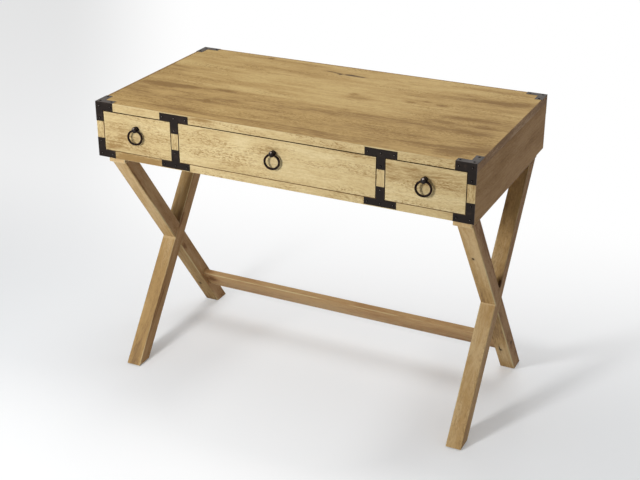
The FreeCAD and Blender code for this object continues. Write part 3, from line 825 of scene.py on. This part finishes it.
def ease_edges(bm, node, width, least_length=EASED_LENGTH):
    """Round the exposed outer edges and mark the rounded faces for their finish's edge colour."""
    edges = []
    for edge in bm.edges:
        if not edge.is_manifold or not edge.is_convex or edge.calc_length() < least_length:
            continue
        if edge.calc_face_angle() < EASED_ANGLE:
            continue
        middle = (edge.verts[0].co + edge.verts[1].co) / 2
        if not covered(middle, node):
            edges.append(edge)
    made = bmesh.ops.bevel(
        bm, geom=edges, offset=width, offset_type="OFFSET", segments=EASING_STEPS, profile=0.5,
        affect="EDGES", clamp_overlap=True, material=-1)
    for face in made["faces"]:
        face.smooth = True
    mark_worn(bm, made["faces"])


def swap_lap(bm):
    """Copy of a lapped leg with its middle turned about, so that the other half of it is cut away."""
    low, high = corners(bm.verts)
    centre = (low.x + high.x) / 2
    along = longest_way(bm)
    lap = [v.co.dot(along) for v in bm.verts if abs(v.co.x - centre) < LEVEL_REACH]
    if not lap:
        raise RuntimeError("no lap found in a leg")
    start, end = min(lap) - LAP_MARGIN, max(lap) + LAP_MARGIN
    turned = bm.copy()
    for v in turned.verts:
        v.co.x = 2 * centre - v.co.x
    bmesh.ops.reverse_faces(turned, faces=turned.faces[:])
    joined = bmesh.new()
    for source, first, last in ((bm, None, start), (turned, start, end), (bm, end, None)):
        part = source.copy()
        for place, inner in ((first, True), (last, False)):
            if place is not None:
                bmesh.ops.bisect_plane(
                    part, geom=whole(part), dist=NODE_MERGE, plane_co=along * place, plane_no=along,
                    clear_inner=inner, clear_outer=not inner)
        add_bmesh(joined, part, Matrix())
        part.free()
    turned.free()
    merge_flat(joined, LEVEL_REACH)
    bmesh.ops.recalc_face_normals(joined, faces=joined.faces[:])
    return joined


def lay_grain(bm, seed, model):
    """Store each vertex's place along, across and into the board, the grain on the model's longest edge."""
    along = forward(longest_way(model))
    widest = max(model.faces, key=bmesh.types.BMFace.calc_area)
    depth = forward(widest.normal.copy())
    across = depth.cross(along)
    low, high = corners(bm.verts)
    centre = (low + high) / 2
    place = bm.verts.layers.float_vector.new("board_place")
    seeds = bm.verts.layers.float.new("board_seed")
    for v in bm.verts:
        away = v.co - centre
        v[place] = Vector((away.dot(along), away.dot(across), away.dot(depth)))
        v[seeds] = seed


def finish_piece(bm, name, body, materials, replaced):
    """Turn a bmesh into a piece that rides on a body in place of its CAD nodes."""
    piece = add_object(name, new_mesh(bm, name))
    for material in materials:
        piece.data.materials.append(material)
    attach(piece, body)
    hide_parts(*replaced)
    return piece


def board(node, body, slot, seed, materials, paint=None, easing=None, shape=None, worn=None):
    """Eased board in place of a CAD node; paint picks a face's material, and worn tells a rubbed face."""
    model = node_copy(node)
    bm = shape(model) if shape else model.copy()
    lay_grain(bm, seed, model)
    model.free()
    ease_edges(bm, node, easing or detail().board_easing)
    if worn:
        mark_worn(bm, [face for face in bm.faces if worn(face.normal)])
    if paint:
        for face in bm.faces:
            face.material_index = paint(face.normal)
    finish_piece(bm, node + "_wood", body, materials, [node])


def islands(bm):
    """Groups of vertices that hang together, one for each separate solid."""
    groups = []
    seen = set()
    for start in bm.verts:
        if start in seen:
            continue
        group = []
        front = [start]
        seen.add(start)
        while front:
            vert = front.pop()
            group.append(vert)
            for edge in vert.link_edges:
                other = edge.other_vert(vert)
                if other not in seen:
                    seen.add(other)
                    front.append(other)
        groups.append(group)
    return groups


def arc(radius, start, end, steps, centre=(0, 0)):
    """Points of an arc in the (radius, height) plane, angles in degrees from the radius axis."""
    turns = [math.radians(start + (end - start) * i / steps) for i in range(steps + 1)]
    return [(centre[0] + radius * math.cos(t), centre[1] + radius * math.sin(t)) for t in turns]


def spin_full(bm, steps):
    """Turn all of a bmesh about Z into a smooth round shape."""
    bmesh.ops.spin(
        bm, geom=bm.verts[:] + bm.edges[:], cent=(0, 0, 0), axis=UP_WAY, angle=FULL_TURN, steps=steps,
        use_merge=True)
    bmesh.ops.remove_doubles(bm, verts=bm.verts[:], dist=TURNED_MERGE)
    bmesh.ops.recalc_face_normals(bm, faces=bm.faces[:])
    for face in bm.faces:
        face.smooth = True


def turned_solid(points, steps):
    """Closed round solid from a profile of (radius, height) points."""
    bm = bmesh.new()
    verts = [bm.verts.new((radius, 0, height)) for radius, height in points]
    for pair in zip(verts, verts[1:]):
        bm.edges.new(pair)
    spin_full(bm, steps)
    return bm


# Boards

def paint_front(normal):
    """Second material on the front, first elsewhere."""
    return 1 if normal.y < -FACING else 0


def paint_top(normal):
    """Second material on the top's front edge, third on its ends."""
    if normal.y < -LEANING:
        return 1
    return 2 if normal.x > LEANING or normal.x < -SQUARE else 0


def paint_drawer_front(normal):
    """Second material on a drawer front's back, third, painted shade, on its edges."""
    if normal.y > FACING:
        return 1
    return 2 if abs(normal.y) < LEANING else 0


def paint_leg(normal):
    """Second material on the sides of a leg."""
    return 1 if abs(normal.x) > SQUARE else 0


def on_chamfer(normal):
    """Tell whether a leg's face is a chamfer."""
    return CHAMFER_LEAN[0] < abs(normal.x) < CHAMFER_LEAN[1]


class DESK_OT_case(bpy.types.Operator):
    """Make the boards of the case and the drawer stops"""

    bl_idname = "desk.case"
    bl_label = "Case"

    def execute(self, context):
        top = [wood("top", "top_panel"), wood("front", "top_front"), wood("end", turn=QUARTER_TURN)]
        self.case_board("top_panel", top, paint_top, detail().top_easing)
        self.case_board("bottom_panel", [wood("side"), wood("front", "bottom_front")], paint_front)
        self.case_board("back_panel", [wood("side")])
        for hand in HANDS:
            side = hand + "_side_panel"
            edge = wood("front", hand + "_side_front", turn=QUARTER_TURN)
            self.case_board(side, [wood("side", side), edge], paint_front)
            # The divider's sides in the gaps take painted shade
            divider = [wood("gap"), wood("front", turn=QUARTER_TURN)]
            self.case_board(hand + "_divider", divider, paint_front)
        board("drawer_stops", "frame", "drawer_wood", CASE_SEEDS["drawer_stops"], [wood("box")])
        return {"FINISHED"}

    def case_board(self, node, materials, paint=None, easing=None):
        """One board of the desk's own wood."""
        board(node, "frame", "desk_wood", CASE_SEEDS[node], materials, paint, easing)


class DESK_OT_drawers(bpy.types.Operator):
    """Make the dovetailed drawer boxes"""

    bl_idname = "desk.drawers"
    bl_label = "Drawers"

    def execute(self, context):
        easing = detail().board_easing / 2
        for i, word in enumerate(DRAWERS):
            body = word + "_drawer"
            front = body + "_front"
            materials = [wood("front", front), wood("box"), wood("gap")]
            board(front, body, "desk_wood", FRONT_SEED + i, materials, paint_drawer_front, easing)
            for k, piece in enumerate(BOX_BOARDS):
                seed = BOX_SEED + len(BOX_BOARDS) * i + k
                board(body + "_" + piece, body, "drawer_wood", seed, [wood("box")], easing=easing)
        return {"FINISHED"}


class DESK_OT_legs(bpy.types.Operator):
    """Make the crossed legs, the battens and the stretcher"""

    bl_idname = "desk.legs"
    bl_label = "Legs"

    def execute(self, context):
        names = [hand + "_" + end + "_leg" for hand in HANDS for end in ("front", "back")]
        names += [hand + "_batten" for hand in HANDS] + ["stretcher"]
        for i, name in enumerate(names):
            lapped = swap_lap if name in SWAPPED_LEGS else None
            face = "leg_side" if name == "stretcher" else "leg"
            board(name, "frame", "desk_wood", LEG_SEED + i, [wood(face, name), wood("leg_side", name)],
                  paint_leg, detail().leg_easing, lapped, on_chamfer)
        return {"FINISHED"}


# Ironwork and glides

class DESK_OT_plates(bpy.types.Operator):
    """Make the let-in iron plates"""

    bl_idname = "desk.plates"
    bl_label = "Iron Plates"

    def execute(self, context):
        iron = plate_iron()
        names = [end + "_" + hand + "_corner_bracket" for end in ("front", "back") for hand in HANDS]
        names += ["lower_" + hand + "_corner_plate" for hand in HANDS]
        names += [end + "_" + hand + "_tee_plate" for end in ("upper", "lower") for hand in HANDS]
        for name in names:
            bm = node_copy(name)
            ease_edges(bm, name, detail().plate_easing, PLATE_EASED_LENGTH)
            finish_piece(bm, name + "_iron", "frame", [iron], [name])
        return {"FINISHED"}


def screw_shape(head_radius, head_height, shank_radius, shank_length, flat, rubbed):
    """Slotted screw along Z with its seat at z = 0; a flat head is countersunk, any other is domed, and with
    rubbed set its crown carries a painted highlight.
    """
    points = [(0, -shank_length), (shank_radius, -shank_length)]
    if flat:
        points += [(shank_radius, shank_radius - head_radius), (head_radius, 0), (0, 0)]
    else:
        bulge = (head_radius ** 2 + head_height ** 2) / (2 * head_height)
        half = math.degrees(math.asin(head_radius / bulge))
        dome = arc(bulge, 90 - half, 90, DOME_STEPS, (0, head_height - bulge))
        points += [(shank_radius, 0), (head_radius, 0)] + dome[1:-1] + [(0, head_height)]
    bm = turned_solid(points, SCREW_STEPS)
    half_slot = detail().screw_slot / 2
    for side in (-half_slot, half_slot):
        bmesh.ops.bisect_plane(bm, geom=whole(bm), plane_co=(side, 0, 0), plane_no=(1, 0, 0))
    slot = [f for f in bm.faces if f.normal.z > LEANING and abs(f.calc_center_median().x) < half_slot]
    sunk = bmesh.ops.extrude_face_region(bm, geom=slot)
    verts = [v for v in sunk["geom"] if isinstance(v, bmesh.types.BMVert)]
    bmesh.ops.delete(bm, geom=slot, context="FACES")
    bmesh.ops.translate(bm, verts=verts, vec=(0, 0, -SLOT_DEPTH * head_height))
    bmesh.ops.recalc_face_normals(bm, faces=bm.faces[:])
    # Faces near the middle of the dome carry the painted highlight
    highlighted_crown = []
    for face in bm.faces:
        middle = face.calc_center_median()
        if middle.z > 0 and face.normal.z > LEANING and middle.xy.length < HIGHLIGHT_HEAD * head_radius:
            highlighted_crown.append(face)
    mark_worn(bm, highlighted_crown if rubbed else [])
    return bm


def screw_group(node, name, body, slot, material, outward, head_height, shank_radius, flat=False,
                rubbed=False):
    """One detailed screw in place of each solid of a CAD node, its slot turned differently each time."""
    copy = node_copy(node)
    joined = bmesh.new()
    for i, group in enumerate(islands(copy)):
        heights = [v.co.dot(outward) for v in group]
        seat = max(heights) - (0 if flat else head_height)
        top = [v.co for v in group if v.co.dot(outward) > seat - LEVEL_REACH]
        centre = sum(top, Vector()) / len(top)
        centre += outward * (seat - centre.dot(outward))
        radius = max((v - centre - outward * (v - centre).dot(outward)).length for v in top)
        shape = screw_shape(radius, head_height, shank_radius, seat - min(heights), flat, rubbed)
        spin = Matrix.Rotation(SLOT_TURN * i, 4, "Z")
        add_bmesh(joined, shape, Matrix.Translation(centre) @ facing(outward) @ spin)
        shape.free()
    copy.free()
    finish_piece(joined, name, body, [material], [node])


class DESK_OT_screws(bpy.types.Operator):
    """Make the screws of the plates, the battens and the pulls"""

    bl_idname = "desk.screws"
    bl_label = "Screws"

    def execute(self, context):
        iron = screw_iron()
        steel = bright_steel()
        ways = {"top": UP_WAY, "front": FRONT_WAY, "back": -FRONT_WAY}
        for face, way in ways.items():
            # Front and back screws have their crowns marked for a painted highlight; the top ones don't
            screw_group(face + "_plate_screws", face + "_screws", "frame", "dark_screw", iron, way,
                        rubbed=face != "top", **PLATE_SCREW)
        screw_group("batten_screws", "batten_flat_screws", "frame", "bright_screw", steel, -UP_WAY,
                    **BATTEN_SCREW)
        for word in DRAWERS:
            screw_group(word + "_pull_screw", word + "_pull_screw_steel", word + "_drawer", "bright_screw",
                        steel, -FRONT_WAY, **PULL_SCREW)
        return {"FINISHED"}


def bore_eye(post, eye, depth):
    """Bore the eye through a post's ball along X."""
    bm = bmesh.new()
    bmesh.ops.create_cone(
        bm, cap_ends=True, segments=EYE_STEPS, radius1=EYE_BORE, radius2=EYE_BORE, depth=depth)
    level = Matrix.Translation(eye) @ Matrix.Rotation(QUARTER_TURN, 4, "Y")
    bmesh.ops.transform(bm, verts=bm.verts[:], matrix=level)
    for face in bm.faces:
        face.smooth = len(face.verts) == 4
    bore = add_object("eye_bore", new_mesh(bm, "eye_bore"))
    cut = post.modifiers.new("eye", "BOOLEAN")
    cut.operation = "DIFFERENCE"
    cut.object = bore
    shaped = bpy.data.meshes.new_from_object(post.evaluated_get(bpy.context.evaluated_depsgraph_get()))
    post.modifiers.clear()
    bpy.data.objects.remove(bore)
    plain = post.data
    post.data = shaped
    bpy.data.meshes.remove(plain)
    post.data.set_sharp_from_angle(angle=SHARP_ANGLE)


class DESK_OT_pulls(bpy.types.Operator):
    """Make the ball-headed posts and the rings that hang in them"""

    bl_idname = "desk.pulls"
    bl_label = "Ring Pulls"

    def execute(self, context):
        hinges = [joint for joint in frame["joints"] if joint["type"] == "hinge"]
        eyes = {joint["child"]: Vector(joint["pos_m"]) for joint in hinges}
        post_material = post_iron()
        ring_material = ring_iron()
        for word in DRAWERS:
            self.post(word, eyes[word + "_ring"], post_material)
            self.ring(word, ring_material)
        return {"FINISHED"}

    def post(self, word, eye, material):
        """Turned post with a moulded foot and a ball that carries a painted highlight at its upper front."""
        low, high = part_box(word + "_pull_post")
        face = high.y
        ball = (high.z - low.z) / 2
        standoff = face - eye.y
        foot = Vector(((low.x + high.x) / 2, face, (low.z + high.z) / 2))
        neck = math.degrees(math.asin(POST_NECK / ball))
        points = POST_FOOT + arc(ball, neck - 90, 90, BALL_STEPS, (0, standoff))
        points[-1] = (0, standoff + ball)
        bm = turned_solid(points, detail().round_steps)
        bmesh.ops.transform(bm, verts=bm.verts[:], matrix=Matrix.Translation(foot) @ facing(FRONT_WAY))
        middle = foot + standoff * FRONT_WAY
        # Faces of the ball that face the highlight direction carry the painted highlight
        rubbed = []
        for f in bm.faces:
            if (f.calc_center_median() - middle).normalized().dot(HIGHLIGHT_WAY) > HIGHLIGHT_SPREAD:
                rubbed.append(f)
        mark_worn(bm, rubbed)
        post = finish_piece(bm, word + "_post_iron", word + "_drawer", [material],
                            [word + "_pull_post"])
        bore_eye(post, eye, 4 * ball)

    def ring(self, word, material):
        """Ring of round wire, hanging a little turned."""
        low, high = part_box(word + "_pull_ring")
        wire = detail().ring_wire
        radius = (high.x - low.x) / 2 - wire
        bm = bmesh.new()
        section = bmesh.ops.create_circle(bm, segments=WIRE_STEPS, radius=wire)["verts"]
        upright = Matrix.Translation((radius, 0, 0)) @ Matrix.Rotation(QUARTER_TURN, 4, "X")
        bmesh.ops.transform(bm, verts=section, matrix=upright)
        spin_full(bm, RING_STEPS)
        hang = Matrix.Translation((low + high) / 2) @ Matrix.Rotation(detail().ring_turn, 4, "Z")
        bmesh.ops.transform(bm, verts=bm.verts[:], matrix=hang @ facing(FRONT_WAY))
        finish_piece(bm, word + "_ring_iron", word + "_ring", [material], [word + "_pull_ring"])


class DESK_OT_glides(bpy.types.Operator):
    """Make the round glides under the feet"""

    bl_idname = "desk.glides"
    bl_label = "Glides"

    def execute(self, context):
        copy = node_copy("foot_glides")
        joined = bmesh.new()
        for group in islands(copy):
            low, high = corners(group)
            radius = (high.x - low.x) / 2
            height = high.z - low.z
            rim = arc(GLIDE_RIM, -90, 0, RIM_STEPS, (radius - GLIDE_RIM, GLIDE_RIM))
            shape = turned_solid([(0, 0)] + rim + [(radius, height), (0, height)], GLIDE_STEPS)
            middle = ((low.x + high.x) / 2, (low.y + high.y) / 2, low.z)
            add_bmesh(joined, shape, Matrix.Translation(middle))
            shape.free()
        copy.free()
        glides = finish_piece(joined, "glides", "frame", [glide_plastic()], ["foot_glides"])
        glides.data.set_sharp_from_angle(angle=SHARP_ANGLE)
        return {"FINISHED"}


# Stage

def soft_light(name, place, target, size, power):
    """Rectangular light that looks at a target."""
    lamp = bpy.data.lights.new(name, "AREA")
    lamp.shape = "RECTANGLE"
    lamp.size, lamp.size_y = size
    lamp.energy = power
    made = add_object(name, lamp)
    made.location = place
    made.rotation_euler = (Vector(target) - Vector(place)).to_track_quat("-Z", "Y").to_euler()


class DESK_OT_stage(bpy.types.Operator):
    """Make the floor, the lights, the background and the camera"""

    bl_idname = "desk.stage"
    bl_label = "Stage"

    def execute(self, context):
        scene = context.scene
        scene.view_settings.view_transform = "Standard"
        bm = bmesh.new()
        bmesh.ops.create_grid(bm, x_segments=1, y_segments=1, size=FLOOR_SIZE)
        floor = add_object("studio_floor", new_mesh(bm, "studio_floor"))
        floor.data.materials.append(self.floor_material())
        self.world(scene)
        for name, values in LIGHTS.items():
            soft_light(name, *values)
        camera = bpy.data.cameras.new("camera")
        camera.lens = CAMERA_LENS
        camera.sensor_width = CAMERA_SENSOR
        holder = add_object("camera", camera)
        holder.location = CAMERA_PLACE
        holder.rotation_euler = (CAMERA_PITCH, 0, CAMERA_TURN)
        scene.camera = holder
        return {"FINISHED"}

    def floor_material(self):
        """Pale floor that turns white towards the back, with painted light towards the front and the middle
        and painted shade to the left of the view.
        """
        material, tree, shader = new_material("studio_floor", roughness=0.85)
        place = object_place(tree)
        cloud = clouds(tree, place, CLOUD_CELLS["floor"], 1.0, 0.5)
        tree.links.new(mix(tree, cloud, shade("floor", 0.97), shade("floor")), shader.inputs["Base Color"])
        way = add_node(tree, "ShaderNodeSeparateXYZ", {0: place}).outputs
        back = vectors(tree, "DOT_PRODUCT", place, FLOOR_BACK_WAY)["Value"]
        middle = maths(tree, "ABSOLUTE", maths(tree, "SUBTRACT", way["X"], FLOOR_MIDDLE))
        white = remap(tree, back, *FLOOR_WHITE["back"])
        white = maths(tree, "MAXIMUM", white, remap(tree, way["Y"], *FLOOR_WHITE["front"]))
        white = maths(tree, "MAXIMUM", white, remap(tree, middle, *FLOOR_WHITE["middle"]))
        away = vectors(tree, "DOT_PRODUCT", place, VIEW_WAY)["Value"]
        beside = vectors(tree, "DOT_PRODUCT", place, VIEW_RIGHT)["Value"]
        slant = maths(tree, "DIVIDE", beside, maths(tree, "MULTIPLY_ADD", away, VIEW_SLOPE, CAMERA_REACH))
        white = maths(tree, "MULTIPLY", white, remap(tree, slant, *FLOOR_WHITE["left_of_view"]))
        white = maths(tree, "MULTIPLY", white, seen_directly(tree))
        glow = add_node(tree, "ShaderNodeEmission", {"Color": (1, 1, 1, 1), "Strength": 1.0})
        blend = add_node(tree, "ShaderNodeMixShader", {0: white, 1: shader.outputs[0], 2: glow.outputs[0]})
        tree.links.new(blend.outputs[0], tree.nodes["Material Output"].inputs["Surface"])
        return material

    def world(self, scene):
        """White to the camera and in reflections, a plain even light elsewhere."""
        world = bpy.data.worlds.new("studio_world")
        scene.world = world
        world.use_nodes = True
        tree = world.node_tree
        background = tree.nodes["Background"]
        background.inputs["Color"].default_value = (1, 1, 1, 1)
        strength = remap(tree, seen_directly(tree), 0.0, 1.0, WORLD_LIGHT, 1.0)
        tree.links.new(strength, background.inputs["Strength"])


class DESK_PT_panel(bpy.types.Panel):
    """List the desk's pieces in the sidebar"""

    bl_idname = "DESK_PT_panel"
    bl_label = "Campaign Desk"
    bl_space_type = "VIEW_3D"
    bl_region_type = "UI"
    bl_category = "Desk"

    def draw(self, context):
        for settings in (context.scene.desk_detail, context.scene.desk_finish):
            for key in settings.__annotations__:
                self.layout.prop(settings, key)
        for operator in OPERATORS:
            self.layout.operator(operator.bl_idname)


OPERATORS = (DESK_OT_case, DESK_OT_drawers, DESK_OT_legs, DESK_OT_plates, DESK_OT_screws, DESK_OT_pulls,
             DESK_OT_glides, DESK_OT_stage)
CLASSES = (DeskDetailSettings, DeskFinishSettings) + OPERATORS + (DESK_PT_panel,)


def register():
    for cls in CLASSES:
        bpy.utils.register_class(cls)
    bpy.types.Scene.desk_detail = PointerProperty(type=DeskDetailSettings)
    bpy.types.Scene.desk_finish = PointerProperty(type=DeskFinishSettings)


def unregister():
    del bpy.types.Scene.desk_finish
    del bpy.types.Scene.desk_detail
    for cls in reversed(CLASSES):
        bpy.utils.unregister_class(cls)


def main():
    register()
    bpy.ops.desk.case()
    bpy.ops.desk.drawers()
    bpy.ops.desk.legs()
    bpy.ops.desk.plates()
    bpy.ops.desk.screws()
    bpy.ops.desk.pulls()
    bpy.ops.desk.glides()
    bpy.ops.desk.stage()


if __name__ == "__main__":
    main()
